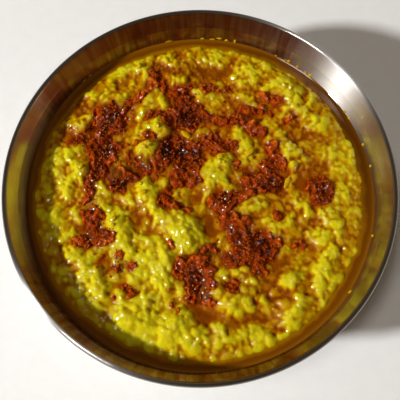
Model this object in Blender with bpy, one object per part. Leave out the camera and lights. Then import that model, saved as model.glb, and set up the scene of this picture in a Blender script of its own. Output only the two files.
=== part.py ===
"""Thick lentil dal in a spun steel bowl, with a ring of oil and spoonfuls of chilli tempering.

Blender 4.5, metres, +Z up. The origin is on the bowl's axis, on the plane that the bowl
stands on. Lengths below are in millimetres and are turned to metres where a mesh is made.
"""
import math

import bmesh
import bpy
from mathutils import Vector, noise
from mathutils.bvhtree import BVHTree

MM = 0.001
GAP = 0.3                  # left between pieces that touch

# Bowl: one sheet of steel, spun to a flat base, a curved body and a flared collar
WALL = 1.0
BASE_RADIUS = 58.0
BODY_WIDTH = 47.7          # how far the body's curve reaches out past the base
BODY_HEIGHT = 94.0         # height of that curve, from base to where it would stand upright
CREASE_HEIGHT = 75.5       # where the curved body turns into the collar
COLLAR_TOP = 85.2
COLLAR_LEAN = math.radians(20)
BEAD_RADIUS = 1.6          # the rolled edge
BOWL_SEGMENTS = 72
BODY_STEPS = 6
BEAD_STEPS = 5

# Food: the oil's level, how deep its ring reaches down the wall, and how wide it is
OIL_LEVEL = 64.0
OIL_FOOT = 56.0
DAL_RADIUS = 96.8          # mean radius of the dal where it leaves the oil
DAL_RINGS = 24
DOME = 2.6                 # how much the dal stands above the oil, away from its mounds
EDGE_FALL = 7.0            # width of the band in which it drops to the oil
LOWEST = -1.2              # the deepest hollow, measured from the oil's level
SWELL = 1.3                # height of the slow unevenness, which has no name of its own
SWELL_LENGTH = 19.0
LUMP = 0.9                 # height of the lumps
LUMP_LENGTH = 7.5

# What the spoon left. Each mound is (x, y, half length, half width, degrees, height), and a
# negative height is a hollow. Degrees turn its length from +X towards +Y.
MOUNDS = (
    (-47, -25, 17, 8, -66, 5.0), (-29, -6, 18, 7, -64, 5.2), (-8, -26, 15, 10, -58, 4.6),
    (11, 13, 16, 10, 35, 4.0), (-13, -78, 13, 8, -58, 4.2), (14, -82, 12, 7, -65, 3.4),
    (55, -68, 12, 7, 50, 3.6), (51, -52, 11, 6, 18, 3.6), (69, -46, 14, 9, -78, 3.6),
    (-57, -54, 11, 6, -80, 4.0), (-25, -42, 16, 9, -55, 4.0), (-71, -37, 12, 7, -45, 3.4),
    (-85, -13, 8, 7, 0, 2.8), (-83, 21, 13, 7, 60, 2.4), (-71, 11, 13, 7, -80, 3.4),
    (-2, 92, 9, 5, 0, 2.6), (54, 62, 16, 7, -55, 3.6), (70, 47, 11, 8, 80, 3.0),
    (53, 27, 19, 6, -62, 3.8), (-32, 28, 9, 7, 30, 4.8), (-23, 41, 9, 5, -70, 4.8),
    (-47, 17, 8, 5, 10, 2.4), (81, -14, 12, 8, 80, 2.8), (77, -34, 8, 7, 0, 2.8),
    (-35, -76, 20, 11, -38, 2.8), (20, -64, 17, 7, -14, 3.0), (31, -8, 11, 6, 20, 2.8),
    (30, 32, 10, 9, 80, 2.4), (-48, 78, 22, 9, 32, 1.8), (-19, 27, 8, 6, 80, -3.4),
    (-8, 47, 13, 7, 0, -3.2), (38, -33, 8, 10, 0, -2.8), (43, 6, 10, 6, 0, -2.6),
    (12, 81, 20, 9, -5, -3.2), (75, 17, 10, 6, 0, -2.6), (85, -35, 10, 7, 70, -2.4),
    (5, -16, 8, 10, 0, -3.0), (-22, 78, 7, 5, 0, -2.6), (-36, -8, 18, 4, -64, -2.0),
)
# Furrows that turned round with the spoon: (x, y, radius, from degrees, to degrees, half
# width, depth)
FURROWS = (
    (16, -50, 27, 195, 350, 4.5, 4.0), (36, -30, 31, -55, 40, 4.0, 2.8),
    (16, -50, 43, 255, 325, 4.0, 1.6), (0, 10, 62, 20, 75, 4.0, 1.4),
)

# Spoonfuls of tempering that lie on the dal: (x, y, half length, half width, degrees)
PATS = (
    (-54, 49, 10, 8, 0), (-61, 25, 13, 7, 82), (-53, 2, 12, 6, -10), (-32, 16, 11, 6, -10),
    (-9, 23, 11, 8, 0), (-7, 5, 8, 6, 0), (-15, 63, 11, 5, 0), (-12, 47, 12, 6, -8),
    (23, 43, 16, 5, -12), (37, 8, 12, 6, 5), (47, 25, 10, 5, -55), (71, 2, 10, 9, 90),
    (13, -4, 8, 7, 0), (16, -21, 9, 4, -63), (33, -34, 13, 10, -60), (0, -54, 12, 9, -75),
    (10, -37, 8, 5, 0), (-18, -5, 9, 5, -25), (-61, -16, 7, 6, 0), (-61, -29, 11, 5, 0),
    (-28, 74, 6, 5, 0), (41, 61, 6, 5, 0), (46, -12, 5, 4, 0), (-40, 64, 8, 4, 25),
)
PAT_SEGMENTS = 10
PAT_HEIGHT = 2.6
PAT_ROUGHNESS = 0.8

STEEL = ("spun_steel", (0.62, 0.60, 0.57), 0.25, 1.0)
DAL = ("lentil_mash", (0.72, 0.55, 0.03), 0.35, 0.0)
OIL = ("red_oil", (0.25, 0.07, 0.005), 0.08, 0.0)
TEMPERING = ("chilli_paste", (0.20, 0.03, 0.004), 0.35, 0.0)


def clear_scene():
    for old in list(bpy.data.objects):
        bpy.data.objects.remove(old, do_unlink=True)


def material(name, colour, roughness, metallic):
    """A plain Principled material, made once and shared."""
    found = bpy.data.materials.get(name)
    if found:
        return found
    made = bpy.data.materials.new(name)
    made.use_nodes = True
    shader = made.node_tree.nodes["Principled BSDF"]
    shader.inputs["Base Color"].default_value = (*colour, 1.0)
    shader.inputs["Roughness"].default_value = roughness
    shader.inputs["Metallic"].default_value = metallic
    return made


def add_object(name, points, faces, finish, parent):
    """One closed mesh from millimetre points, facing out and shaded smooth."""
    mesh = bpy.data.meshes.new(name)
    mesh.from_pydata([(x * MM, y * MM, z * MM) for x, y, z in points], [], faces)
    shape = bmesh.new()
    shape.from_mesh(mesh)
    bmesh.ops.recalc_face_normals(shape, faces=shape.faces)
    bmesh.ops.triangulate(shape, faces=shape.faces)
    shape.to_mesh(mesh)
    shape.free()
    mesh.shade_smooth()
    mesh.set_sharp_from_angle(angle=math.radians(50))
    mesh.materials.append(material(*finish))
    made = bpy.data.objects.new(name, mesh)
    bpy.context.scene.collection.objects.link(made)
    made.parent = parent
    return made


def turned(angle, radius, height):
    return (radius * math.cos(angle), radius * math.sin(angle), height)


def ring_of_quads(first, second, count):
    """Faces between two rings of points that start at index first and at index second."""
    return [(first + j, first + (j + 1) % count, second + (j + 1) % count, second + j)
            for j in range(count)]


# ---------------------------------------------------------------- the bowl's turned profile
def curve_angle(height):
    """The body curve's parameter at a height on the bowl's inside."""
    return math.acos((WALL + BODY_HEIGHT - height) / BODY_HEIGHT)


def body_point(angle, outwards):
    """(radius, height) on the body's curve, moved along its normal."""
    radius = BASE_RADIUS + BODY_WIDTH * math.sin(angle)
    height = WALL + BODY_HEIGHT * (1 - math.cos(angle))
    normal = Vector((BODY_HEIGHT * math.sin(angle), -BODY_WIDTH * math.cos(angle))).normalized()
    return radius + outwards * normal.x, height + outwards * normal.y


def inner_radius(height):
    return body_point(curve_angle(height), 0.0)[0]


def body_angles(top_height):
    """Stations up the body: even steps to the foot of the oil, then the named heights."""
    foot = curve_angle(OIL_FOOT)
    angles = [foot * step / BODY_STEPS for step in range(BODY_STEPS + 1)]
    angles += [curve_angle(height) for height in (OIL_LEVEL, CREASE_HEIGHT)
               if height <= top_height]
    return angles


def bowl_profile():
    """Outline of the sheet from the middle of its underside, over the edge, to its inside."""
    along = Vector((math.sin(COLLAR_LEAN), math.cos(COLLAR_LEAN)))
    across = Vector((math.cos(COLLAR_LEAN), -math.sin(COLLAR_LEAN)))
    angles = body_angles(CREASE_HEIGHT)
    crease = Vector(body_point(angles[-1], 0.0))
    edge = crease + along * ((COLLAR_TOP - crease.y) / along.y)
    bead = edge + across * BEAD_RADIUS
    # The roll starts on the collar's inner face and ends where it meets the outer face
    start = math.pi - COLLAR_LEAN
    finish = -COLLAR_LEAN - math.acos(-(BEAD_RADIUS - WALL) / BEAD_RADIUS)
    roll = []
    for step in range(BEAD_STEPS + 1):
        turn = start + (finish - start) * step / BEAD_STEPS
        roll.append((bead.x + BEAD_RADIUS * math.cos(turn), bead.y + BEAD_RADIUS * math.sin(turn)))
    outside = [body_point(angle, WALL) for angle in angles]
    inside = [body_point(angle, 0.0) for angle in angles]
    return outside + roll[::-1] + inside[::-1]


def build_bowl(parent):
    profile = bowl_profile()
    count = BOWL_SEGMENTS
    points = []
    for radius, height in profile:
        points += [turned(math.tau * j / count, radius, height) for j in range(count)]
    faces = []
    for ring in range(len(profile) - 1):
        faces += ring_of_quads(ring * count, (ring + 1) * count, count)
    last = (len(profile) - 1) * count
    for first, height in ((0, profile[0][1]), (last, profile[-1][1])):
        centre = len(points)
        points.append((0.0, 0.0, height))
        faces += [(centre, first + j, first + (j + 1) % count) for j in range(count)]
    return add_object("bowl", points, faces, STEEL, parent)


# ---------------------------------------------------------------- the dal's surface
def dal_edge(angle):
    """Radius of the dal's uneven outline in the oil."""
    return (DAL_RADIUS + 0.7 * math.sin(3 * angle + 0.6) + 0.5 * math.sin(7 * angle + 2.0)
            + 0.3 * math.sin(11 * angle))


def mound_height(x, y):
    total = 0.0
    for mx, my, half_length, half_width, degrees, height in MOUNDS:
        turn = math.radians(degrees)
        along = (x - mx) * math.cos(turn) + (y - my) * math.sin(turn)
        across = (y - my) * math.cos(turn) - (x - mx) * math.sin(turn)
        far = (along / half_length) ** 2 + (across / half_width) ** 2
        if far < 1:
            total += height * (1 - far) ** 1.5
    return total


def furrow_depth(x, y):
    total = 0.0
    for fx, fy, radius, start, finish, half_width, depth in FURROWS:
        far = abs(math.hypot(x - fx, y - fy) - radius) / half_width
        if far >= 1:
            continue
        turn = (math.degrees(math.atan2(y - fy, x - fx)) - start) % 360
        sweep = finish - start
        if turn < sweep:
            ends = min(1.0, 6 * turn / sweep, 6 * (sweep - turn) / sweep)
            total += depth * ends * (1 - far * far) ** 2
    return total


def relief(x, y):
    """Height of the dal's surface over the oil's level."""
    edge = dal_edge(math.atan2(y, x))
    inset = (edge - math.hypot(x, y)) / EDGE_FALL
    rise = math.sin(0.5 * math.pi * min(1.0, max(0.0, inset)))
    swell = SWELL * noise.noise(Vector((x, y, 3.0)) / SWELL_LENGTH)
    lump = LUMP * noise.noise(Vector((x, y, 40.0)) / LUMP_LENGTH)
    height = DOME + swell + lump + mound_height(x, y) - furrow_depth(x, y)
    return rise * max(LOWEST, height)


def build_dal(parent):
    """Solid mash: a net of triangles over the top, and rings down the wall and the base."""
    points = [(0.0, 0.0, OIL_LEVEL + relief(0.0, 0.0))]
    starts = [0]
    for ring in range(1, DAL_RINGS + 1):
        starts.append(len(points))
        for j in range(6 * ring):
            angle = math.tau * j / (6 * ring)
            radius = dal_edge(angle) * ring / DAL_RINGS
            x, y, _ = turned(angle, radius, 0.0)
            points.append((x, y, OIL_LEVEL + relief(x, y)))
    faces = []
    for ring in range(1, DAL_RINGS + 1):
        outer, inner = starts[ring], starts[ring - 1]
        for side in range(6):
            for step in range(ring):
                a = outer + side * ring + step
                b = outer + (side * ring + step + 1) % (6 * ring)
                c = inner + (side * (ring - 1) + step) % max(1, 6 * (ring - 1))
                faces.append((a, b, c))
                if step < ring - 1:
                    d = inner + (side * (ring - 1) + step + 1) % (6 * (ring - 1))
                    faces.append((b, d, c))
    # The edge has two points for each one further down
    count = BOWL_SEGMENTS
    edge = starts[DAL_RINGS]
    rings = [body_point(angle, -GAP) for angle in body_angles(OIL_FOOT)][::-1]
    low = len(points)
    for radius, height in rings:
        points += [turned(math.tau * j / count, radius, height) for j in range(count)]
    for j in range(count):
        a, b, c = edge + 2 * j, edge + 2 * j + 1, edge + (2 * j + 2) % (2 * count)
        p, q = low + j, low + (j + 1) % count
        faces += [(a, p, b), (b, p, q), (b, q, c)]
    for ring in range(len(rings) - 1):
        faces += ring_of_quads(low + ring * count, low + (ring + 1) * count, count)
    last = low + (len(rings) - 1) * count
    centre = len(points)
    points.append((0.0, 0.0, rings[-1][1]))
    faces += [(centre, last + j, last + (j + 1) % count) for j in range(count)]
    return add_object("dal", points, faces, DAL, parent)


def build_oil(parent):
    """Ring of oil: flat on top, against the wall outside and the sloping dal inside."""
    count = BOWL_SEGMENTS
    foot_radius, foot_height = body_point(curve_angle(OIL_FOOT + 4 * GAP), -GAP)
    wall_radius = inner_radius(OIL_LEVEL) - GAP
    points = []
    for j in range(count):
        angle = math.tau * j / count
        points += [turned(angle, dal_edge(angle) + 2 * GAP, OIL_LEVEL),
                   turned(angle, wall_radius, OIL_LEVEL), turned(angle, foot_radius, foot_height)]
    faces = []
    for j in range(count):
        here, there = 3 * j, 3 * ((j + 1) % count)
        for side in range(3):
            beside = (side + 1) % 3
            faces.append((here + side, there + side, there + beside, here + beside))
    return add_object("oil", points, faces, OIL, parent)


# ---------------------------------------------------------------- spoonfuls of tempering
def highest_under(surface, x, y, reach):
    """The dal's highest point within reach of a place, found by looking straight down."""
    best = None
    for distance in (0.0, 0.5 * reach, reach):
        for step in range(12):
            angle = math.tau * step / 12
            spot = Vector((x + distance * math.cos(angle), y + distance * math.sin(angle), 200.0))
            hit = surface.ray_cast(spot * MM, Vector((0, 0, -1)))[0]
            if hit and (best is None or hit.z > best):
                best = hit.z
    return best / MM


def build_pat(number, pat, surface, parent):
    """A lens of paste whose underside clears the dal and whose top is lumpy."""
    x, y, half_length, half_width, degrees = pat
    turn = math.radians(degrees)
    reach = 0.55 * half_length
    count = PAT_SEGMENTS

    def place(part, angle):
        uneven = 1 + 0.10 * math.sin(3 * angle + number)
        u = part * uneven * half_length * math.cos(angle)
        v = part * uneven * half_width * math.sin(angle)
        return (x + u * math.cos(turn) - v * math.sin(turn),
                y + u * math.sin(turn) + v * math.cos(turn))

    spots = [place(0.0, 0.0)]
    for part in (0.55, 1.0):
        spots += [place(part, math.tau * j / count) for j in range(count)]
    under = [highest_under(surface, px, py, reach) + GAP for px, py in spots]
    points = [(px, py, height) for (px, py), height in zip(spots, under)]
    top = len(points)
    for (px, py), height in list(zip(spots, under))[:count + 1]:
        lift = PAT_HEIGHT + PAT_ROUGHNESS * noise.noise(Vector((px, py, 9.0)) / 5.0)
        points.append((px, py, height + lift))
    faces = []
    for centre, inner, rim in ((0, 1, count + 1), (top, top + 1, count + 1)):
        faces += [(centre, inner + j, inner + (j + 1) % count) for j in range(count)]
        faces += ring_of_quads(inner, rim, count)
    return add_object(f"tadka_{number:02d}", points, faces, TEMPERING, parent)


def main():
    clear_scene()
    assembly = bpy.data.objects.new("dal_in_bowl", None)
    bpy.context.scene.collection.objects.link(assembly)
    build_bowl(assembly)
    dal = build_dal(assembly)
    build_oil(assembly)
    bpy.context.view_layer.update()
    surface = BVHTree.FromObject(dal, bpy.context.evaluated_depsgraph_get())
    for number, pat in enumerate(PATS, start=1):
        build_pat(number, pat, surface, assembly)


main()
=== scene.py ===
import math
from functools import partial

import bmesh
import bpy
import numpy as np
from mathutils import Matrix, Vector, noise
from mathutils.bvhtree import BVHTree


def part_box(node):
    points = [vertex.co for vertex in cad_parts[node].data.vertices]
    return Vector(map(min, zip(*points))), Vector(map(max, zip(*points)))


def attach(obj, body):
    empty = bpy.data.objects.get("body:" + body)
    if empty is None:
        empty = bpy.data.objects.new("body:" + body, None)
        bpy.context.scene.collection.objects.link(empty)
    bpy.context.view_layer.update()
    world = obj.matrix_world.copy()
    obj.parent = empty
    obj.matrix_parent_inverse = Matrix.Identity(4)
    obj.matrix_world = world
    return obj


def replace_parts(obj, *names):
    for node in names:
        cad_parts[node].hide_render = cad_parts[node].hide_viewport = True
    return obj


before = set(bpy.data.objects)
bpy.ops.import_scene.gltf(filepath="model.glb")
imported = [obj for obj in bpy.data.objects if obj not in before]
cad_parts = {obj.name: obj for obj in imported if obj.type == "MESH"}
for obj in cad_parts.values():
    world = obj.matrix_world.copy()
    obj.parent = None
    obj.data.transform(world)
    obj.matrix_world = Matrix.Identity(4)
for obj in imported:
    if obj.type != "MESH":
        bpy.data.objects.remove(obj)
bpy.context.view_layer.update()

# ------------------------------ camera
# It stands over the diner's side of the bowl, 0.36 m off, and looks down into it a little
# from the front, so that more of the far wall shows than of the near one.
MM = 0.001
VIEW_DISTANCE = 364 * MM
VIEW_TILT = math.radians(17)
VIEW_WIDTH = 237 * MM              # what the frame spans at the food's surface
VIEW_CENTRE_Y = -4.6 * MM
SENSOR_MM = 36.0

food_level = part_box("oil")[1].z
view_line = Vector((0, -math.sin(VIEW_TILT), math.cos(VIEW_TILT)))
lens = bpy.data.cameras.new("camera")
lens.sensor_width = SENSOR_MM
lens.lens = SENSOR_MM * VIEW_DISTANCE / VIEW_WIDTH
lens.clip_start = 10 * MM
camera = bpy.data.objects.new("camera", lens)
camera.location = Vector((0, VIEW_CENTRE_Y, food_level)) + VIEW_DISTANCE * view_line
camera.rotation_euler = (VIEW_TILT, 0, 0)
bpy.context.scene.collection.objects.link(camera)
bpy.context.scene.camera = camera
bpy.context.scene.view_settings.view_transform = "Standard"


# ------------------------------ table and light
# A pale painted board under the bowl. A round lamp stands on the left like a window in the
# sun, a weaker one nearly overhead, and a dim warm room fills the shadows.
def linear(colour):
    """An sRGB hex colour as linear red, green, blue and alpha."""
    parts = [int(colour[i:i + 2], 16) / 255 for i in (1, 3, 5)]
    return [p / 12.92 if p <= 0.04045 else ((p + 0.055) / 1.055) ** 2.4 for p in parts] + [1.0]


def add_node(tree, kind, links=None, stops=None, **settings):
    """Adds a shader node. An input takes another node's first output, any output, a hex
    colour or a plain value. A ramp's first two stops are its lowest and its highest."""
    made = tree.nodes.new("ShaderNode" + kind)
    for name, value in settings.items():
        setattr(made, name, value)
    for name, value in (links or {}).items():
        if isinstance(value, bpy.types.Node):
            value = value.outputs[0]
        if isinstance(value, bpy.types.NodeSocket):
            tree.links.new(value, made.inputs[name])
        else:
            made.inputs[name].default_value = linear(value) if isinstance(value, str) else value
    for place, (position, colour) in enumerate(stops or ()):
        band = made.color_ramp.elements
        mark = band[place] if place < 2 else band.new(position)
        mark.position = position
        mark.color = linear(colour)
    return made


def new_material(name):
    """An empty material, add_node for its tree, and the place in the object for patterns."""
    made = bpy.data.materials.new(name)
    made.use_nodes = True
    made.node_tree.nodes.clear()
    node = partial(add_node, made.node_tree)
    return made, node, node("TexCoord").outputs["Object"]


def painted_board():
    """Matt paint: nearly white, with the faint mottle of a roller."""
    made, node, place = new_material("painted_board")
    mottle = node("TexNoise", {"Vector": place, "Scale": 1 / (9 * MM)})
    tint = node("ValToRGB", {"Fac": mottle}, stops=((0.3, "#f6f7f8"), (0.7, "#f9fafb")))
    shader = node("BsdfPrincipled", {"Base Color": tint, "Roughness": 0.7})
    node("OutputMaterial", {"Surface": shader})
    return made


BOARD_HALF = 1.5                   # in metres
board_mesh = bpy.data.meshes.new("board")
board_mesh.from_pydata([(-BOARD_HALF, -BOARD_HALF, 0), (BOARD_HALF, -BOARD_HALF, 0),
                        (BOARD_HALF, BOARD_HALF, 0), (-BOARD_HALF, BOARD_HALF, 0)],
                       [], [(0, 1, 2, 3)])
board_mesh.materials.append(painted_board())
board = bpy.data.objects.new("board", board_mesh)
bpy.context.scene.collection.objects.link(board)


def add_lamp(name, azimuth, elevation, distance, width, watts, colour):
    """A round area lamp that faces the food, at an azimuth from +X and an elevation, both in
    degrees, and a distance in metres."""
    lamp = bpy.data.lights.new(name, "AREA")
    lamp.shape = "DISK"
    lamp.size = width
    lamp.energy = watts
    lamp.color = linear(colour)[:3]
    held = bpy.data.objects.new(name, lamp)
    turn, rise = math.radians(azimuth), math.radians(elevation)
    away = Vector((math.cos(turn) * math.cos(rise), math.sin(turn) * math.cos(rise),
                   math.sin(rise)))
    held.location = Vector((0, 0, food_level)) + distance * away
    held.rotation_euler = away.to_track_quat("Z", "Y").to_euler()
    bpy.context.scene.collection.objects.link(held)


add_lamp("sunny_window", azimuth=200, elevation=37, distance=2.6, width=0.20, watts=70,
         colour="#fffdfa")
add_lamp("skylight", azimuth=200, elevation=72, distance=2.6, width=0.36, watts=12,
         colour="#fffaf2")

room = bpy.data.worlds.new("room")
bpy.context.scene.world = room
room.use_nodes = True
room.node_tree.nodes.clear()
node = partial(add_node, room.node_tree)
aim = node("TexCoord").outputs["Generated"]
height = node("SeparateXYZ", {"Vector": aim}).outputs["Z"]
band = node("ValToRGB", {"Fac": height},
            stops=((0, "#66543c"), (1, "#262422"), (0.6, "#5e4e3a")))
glow = node("Background", {"Color": band, "Strength": 1.0})
node("OutputWorld", {"Surface": glow})

# ------------------------------ bowl
# One sheet of stainless steel, spun on a lathe to a flat base, a curved body and a collar
# that leans out above a crease, with its edge rolled over. The spinning left fine turned
# lines and washing up left short scratches. A brown tint in streaks on the far and near
# sides is painted reflection of the dark food and its shade.
WALL = 1.0
BASE_RADIUS = 58.0
BODY_WIDTH = 47.7
BODY_HEIGHT = 94.0
CREASE_HEIGHT = 75.5
COLLAR_TOP = 85.2
COLLAR_LEAN = math.radians(20)
BEAD_RADIUS = 1.54
BOWL_SEGMENTS = 288
TURNED_LINES = ((66.6, 0.02), (69.2, 0.02), (71.8, 0.04), (73.3, 0.06), (74.4, 0.04),
                (76.6, 0.08), (77.5, 0.04), (79.9, 0.03), (82.6, 0.02))  # height, depth
LINE_WIDTH = 0.28
LINE_CUT = 0.8                     # how much of their depth the spinning cut
LINES_FROM = 62.0                  # the height from which the inside is cut finely
WALL_MEAN_RADIUS = 100.0           # turns an angle round the bowl into a length
BRUSHED_SHARE = 0.27               # of what the steel mirrors, as wide brushed gloss
BODY_TIP = 0.18                    # how much further out than its sheet the body mirrors
COLLAR_TIP = 0.07
PAINTED_REFLECTION_TINT = "#80523a"               # painted reflection of the dark food, on the far and near sides
REFLECTION_TINT_FROM = 60                     # the height it reaches down to
REFLECTION_TINT_LEFT = 0.25                   # how much more of it lies on the left
REFLECTION_TINT_EDGE = 0.5                    # how far round it ends, and over how much
REFLECTION_TINT_FADE = 0.25


def body_point(angle, outwards=0.0):
    """(radius, height) on the body's curve in millimetres, moved along its normal."""
    radius = BASE_RADIUS + BODY_WIDTH * math.sin(angle)
    height = WALL + BODY_HEIGHT * (1 - math.cos(angle))
    normal = Vector((BODY_HEIGHT * math.sin(angle), -BODY_WIDTH * math.cos(angle))).normalized()
    return radius + outwards * normal.x, height + outwards * normal.y


def curve_angle(height):
    """Where on the body's curve a height lies."""
    return math.acos((WALL + BODY_HEIGHT - height) / BODY_HEIGHT)


def wall_radius(height):
    """The inside radius of the body and its collar."""
    if height <= CREASE_HEIGHT:
        return body_point(curve_angle(height))[0]
    crease = body_point(curve_angle(CREASE_HEIGHT))[0]
    return crease + (height - CREASE_HEIGHT) * math.tan(COLLAR_LEAN)


def bowl_profile():
    """Outline of the sheet, from the middle of its underside to the middle of its inside."""
    crease_angle = curve_angle(CREASE_HEIGHT)
    inside = [body_point(curve_angle(LINES_FROM) * step / 22) for step in range(22)]
    steps = int((COLLAR_TOP - LINES_FROM) / 0.2)
    for step in range(steps + 1):
        height = LINES_FROM + (COLLAR_TOP - LINES_FROM) * step / steps
        cut = sum(depth * math.exp(-((height - line) / LINE_WIDTH) ** 2)
                  for line, depth in TURNED_LINES)
        inside.append((wall_radius(height) + cut * LINE_CUT, height))
    outside = [body_point(crease_angle * step / 30, WALL) for step in range(31)]
    across = Vector((math.cos(COLLAR_LEAN), -math.sin(COLLAR_LEAN)))
    bead = Vector(inside[-1]) + across * BEAD_RADIUS
    start = math.pi - COLLAR_LEAN
    finish = -COLLAR_LEAN - math.acos(-(BEAD_RADIUS - WALL) / BEAD_RADIUS)
    roll = []
    for step in range(1, 17):
        turn = start + (finish - start) * step / 16
        roll.append((bead.x + BEAD_RADIUS * math.cos(turn), bead.y + BEAD_RADIUS * math.sin(turn)))
    return [(0.0, outside[0][1])] + outside + roll[::-1] + inside[::-1] + [(0.0, inside[0][1])]


def solid(name, points, faces, finish):
    """A smooth-shaded mesh object from millimetre points, riding on the frame's one body."""
    mesh = bpy.data.meshes.new(name)
    mesh.from_pydata(np.asarray(points, float) * MM, [], faces)
    mesh.materials.append(finish)
    mesh.shade_smooth()
    made = bpy.data.objects.new(name, mesh)
    bpy.context.scene.collection.objects.link(made)
    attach(made, "root")
    return made


def turn_profile(profile, count):
    """Points and faces of a profile turned about the bowl's axis; its ends lie on the axis."""
    angles = np.arange(count) * math.tau / count
    middle = profile[1:-1]
    points = [(0.0, 0.0, profile[0][1]), (0.0, 0.0, profile[-1][1])]
    for radius, height in middle:
        points += [(radius * math.cos(a), radius * math.sin(a), height) for a in angles]
    faces = []
    for ring in range(len(middle) - 1):
        low, high = 2 + ring * count, 2 + (ring + 1) * count
        faces += [(low + j, low + (j + 1) % count, high + (j + 1) % count, high + j)
                  for j in range(count)]
    last = 2 + (len(middle) - 1) * count
    faces += [(0, 2 + (j + 1) % count, 2 + j) for j in range(count)]
    faces += [(1, last + j, last + (j + 1) % count) for j in range(count)]
    return points, faces


def set_maps(piece, **maps):
    """Keeps values for the mesh's points, one each or one for all, for its material to read."""
    for name, values in maps.items():
        made = piece.data.attributes.new(name, "FLOAT", "POINT")
        made.data.foreach_set("value", np.full(len(piece.data.vertices), values, np.float32))


def spun_steel():
    """Stainless steel, spun and buffed: bright, with gloss drawn out across its turned lines.
    The finest lines are closer than the eye splits, so they are drawn about 0.7 mm apart."""
    made, node, place = new_material("spun_stainless_steel")
    split = node("SeparateXYZ", {"Vector": place}).outputs
    flat = node("CombineXYZ", {"X": split["X"], "Y": split["Y"]})
    radius = node("VectorMath", {0: flat}, operation="LENGTH").outputs["Value"]
    angle = node("Math", {0: split["Y"], 1: split["X"]}, operation="ARCTAN2")
    arc = node("Math", {0: angle, 1: WALL_MEAN_RADIUS * MM}, operation="MULTIPLY")
    # Unrolled: round the bowl in X, up the wall in Y, across the base in Z
    unrolled = node("CombineXYZ", {"X": arc, "Y": split["Z"], "Z": radius})
    line_space, scratch_space, streak_space = [
        node("VectorMath", {0: unrolled, 1: stretch}, operation="MULTIPLY")
        for stretch in ((0.012, 1, 1), (0.10, 1, 1), (1, 0.06, 0.06))]
    lines = node("TexNoise", {
        "Vector": line_space, "Scale": 1 / (0.7 * MM), "Detail": 3, "Roughness": 0.7})
    scratches = node("TexNoise", {
        "Vector": scratch_space, "Scale": 1 / (1.6 * MM), "Detail": 5, "Roughness": 0.75})
    smears = node("TexNoise", {
        "Vector": unrolled, "Scale": 1 / (14 * MM), "Detail": 4, "Roughness": 0.6})
    gloss = node("MapRange", {
        "Value": smears, "From Min": 0.3, "From Max": 0.7, "To Min": 0.08, "To Max": 0.14})
    tint = node("ValToRGB", {"Fac": lines}, stops=((0.30, "#b4b3b0"), (0.70, "#d0cfcc")))
    # Brown streaks on the far and near sides, over the oil: painted reflection of the dark food and
    # its shade.
    oiled = node("Attribute", attribute_name="oiled").outputs["Fac"]
    reflection_streaks = node("TexNoise", {
        "Vector": streak_space, "Scale": 1 / (3 * MM), "Detail": 3, "Roughness": 0.6})
    streak_part = node("MapRange", {"Value": reflection_streaks, "From Min": 0.35, "From Max": 0.65, "To Min": 0.75})
    film = node("Math", {0: oiled, 1: streak_part}, operation="MULTIPLY")
    # The buffing rounded the sheet a little, so it mirrors as if it leaned out further
    lean = node("MapRange", {
        "Value": split["Z"], "From Min": (CREASE_HEIGHT - 0.5) * MM,
        "From Max": (CREASE_HEIGHT + 0.5) * MM, "To Min": BODY_TIP, "To Max": COLLAR_TIP})
    upward = node("CombineXYZ", {"Z": lean})
    face = node("NewGeometry").outputs["Normal"]
    tipped = node("VectorMath", {0: face, 1: upward}, operation="ADD")
    rounded = node("VectorMath", {0: tipped}, operation="NORMALIZE")
    coarse = node("Bump", {
        "Height": scratches, "Strength": 0.18, "Distance": 0.12 * MM, "Normal": rounded})
    fine = node("Bump", {
        "Height": lines, "Strength": 0.35, "Distance": 0.10 * MM, "Normal": coarse})
    grain = node("Tangent", direction_type="RADIAL", axis="Z")
    glosses = []
    for bare, stretch, roughness in ((tint, 0.9, gloss), ("#efeeec", 1.0, 0.42)):
        reflection_tinted = node("Mix", {"Factor": film, 6: bare, 7: PAINTED_REFLECTION_TINT}, data_type="RGBA")
        glosses.append(node("BsdfPrincipled", {
            "Base Color": reflection_tinted.outputs[2], "Metallic": 1.0, "Anisotropic": stretch,
            "Anisotropic Rotation": 0.25, "Roughness": roughness, "Normal": fine,
            "Tangent": grain}))
    both = node("MixShader", {"Fac": BRUSHED_SHARE, 1: glosses[0], 2: glosses[1]})
    node("OutputMaterial", {"Surface": both})
    return made


bowl_points, bowl_faces = turn_profile(bowl_profile(), BOWL_SEGMENTS)
bowl = solid("bowl_steel", bowl_points, bowl_faces, spun_steel())
bowl_points = np.array(bowl_points)
bowl_radius = np.hypot(bowl_points[:, 0], bowl_points[:, 1])
# Where the painted reflection lies: the far and near sides of the inside, above a given height.
side_part = (np.abs(bowl_points[:, 1]) - REFLECTION_TINT_LEFT * bowl_points[:, 0]) / bowl_radius.clip(1)
side_part = np.clip((side_part - REFLECTION_TINT_EDGE) / REFLECTION_TINT_FADE, 0, 1)
inside_part = [height > REFLECTION_TINT_FROM and radius < wall_radius(min(height, COLLAR_TOP)) + 0.3
               for radius, height in zip(bowl_radius, bowl_points[:, 2])]
set_maps(bowl, oiled=side_part * inside_part)
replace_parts(bowl, "bowl")

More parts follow.
